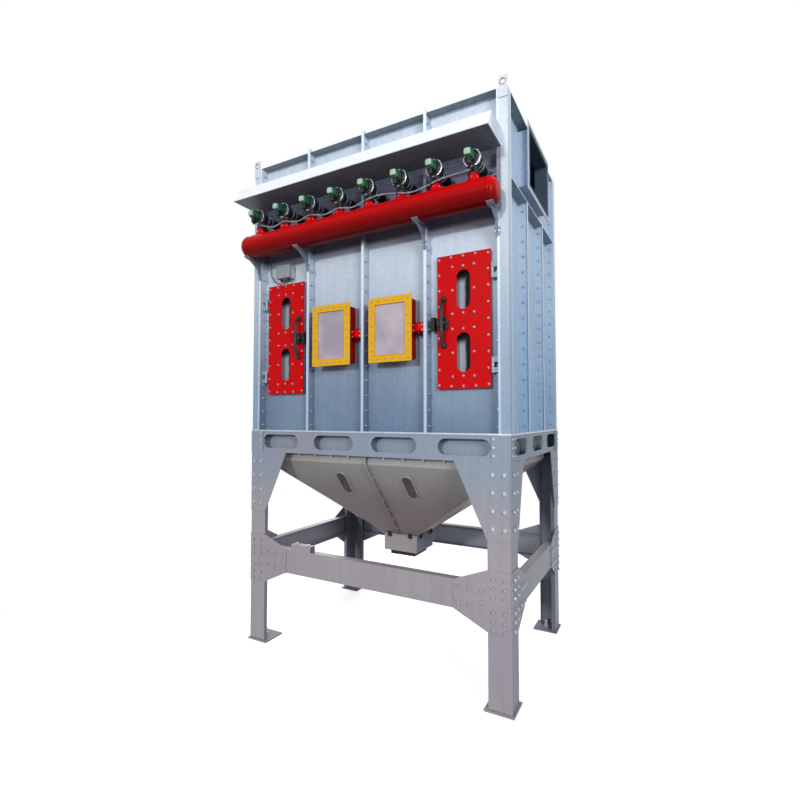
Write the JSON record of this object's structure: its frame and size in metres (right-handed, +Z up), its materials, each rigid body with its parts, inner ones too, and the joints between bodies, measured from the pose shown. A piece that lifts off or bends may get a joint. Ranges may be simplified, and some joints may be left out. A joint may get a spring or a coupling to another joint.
{
  "type": "pulse-jet bag dust collector",
  "caption": "Bag dust collector on braced legs: ribbed sheet housing with hinged doors and explosion vents, pyramid hopper, air header with pulse valves, rain hood and side duct.",
  "frame": {"origin": "on the floor at the centre of the four anchor holes, under the middle of the housing", "axes": "+Z up; -Y towards the front with the doors; +X towards the duct outlet"},
  "size_m": [1.99, 1.562, 3.56],
  "materials": {
    "galvanised_sheet": "galvanised sheet, satin",
    "galvanised_frame": "galvanised plate, satin",
    "hopper_sheet": "galvanised sheet, dull",
    "red_paint": "gloss powder coat",
    "yellow_paint": "satin powder coat",
    "membrane_sheet": "satin foil",
    "black_fittings": "satin black",
    "valve_castings": "dark cast metal",
    "green_coils": "moulded",
    "black_rubber": "matt",
    "grey_plastic": "moulded",
    "grey_cable": "sheathed",
    "black_lead": "sheathed"
  },
  "bodies": {
    "housing": {"base_braces": "galvanised_frame", "base_plates": "galvanised_frame", "blow_pipes": "black_rubber", "brace_cleat": "galvanised_frame", "controller_box": "grey_plastic", "controller_lead": "black_lead", "corner_posts": "galvanised_sheet", "door_fittings": "black_fittings", "duct_outlet": "galvanised_sheet", "front_panel_inner_left": "galvanised_sheet", "front_panel_inner_right": "galvanised_sheet", "front_panel_outer_left": "galvanised_sheet", "front_panel_outer_right": "galvanised_sheet", "header_tank": "red_paint", "hopper": "hopper_sheet", "hopper_outlet": "galvanised_frame", "hopper_windows": "black_rubber", "left_wall": "galvanised_sheet", "leg_front_left": "galvanised_frame", "leg_front_right": "galvanised_frame", "leg_rear_left": "galvanised_frame", "leg_rear_right": "galvanised_frame", "lifting_lugs": "galvanised_frame", "lower_gussets": "galvanised_frame", "outlet_collar": "black_rubber", "plenum_front": "galvanised_sheet", "plenum_left": "galvanised_sheet", "plenum_rear": "galvanised_sheet", "plenum_right": "galvanised_sheet", "pulse_valves": "valve_castings", "rain_hood": "galvanised_sheet", "rear_wall": "galvanised_sheet", "right_wall": "galvanised_sheet", "ring_corner_plates": "galvanised_frame", "ring_front": "galvanised_frame", "ring_left": "galvanised_frame", "ring_rear": "galvanised_frame", "ring_right": "galvanised_frame", "roof_plate": "galvanised_sheet", "tank_brackets": "galvanised_frame", "upper_gussets": "galvanised_frame", "valve_cable": "grey_cable", "valve_coils": "green_coils", "vent_boxes": "red_paint", "vent_frames": "yellow_paint", "vent_membranes": "membrane_sheet"},
    "door_left": {"door_left_fittings": "black_fittings", "door_left_pan": "galvanised_sheet", "door_left_plate": "red_paint"},
    "door_right": {"door_right_fittings": "black_fittings", "door_right_pan": "galvanised_sheet", "door_right_plate": "red_paint"}
  },
  "joints": [
    {"name": "door_left_hinge", "type": "hinge", "parent": "housing", "child": "door_left", "pos_m": [-0.872, -0.628, 2.1925], "axis": [0, 0, -1], "range_deg": [0, 105]},
    {"name": "door_right_hinge", "type": "hinge", "parent": "housing", "child": "door_right", "pos_m": [0.872, -0.628, 2.1925], "axis": [0, 0, 1], "range_deg": [0, 105]}
  ]
}
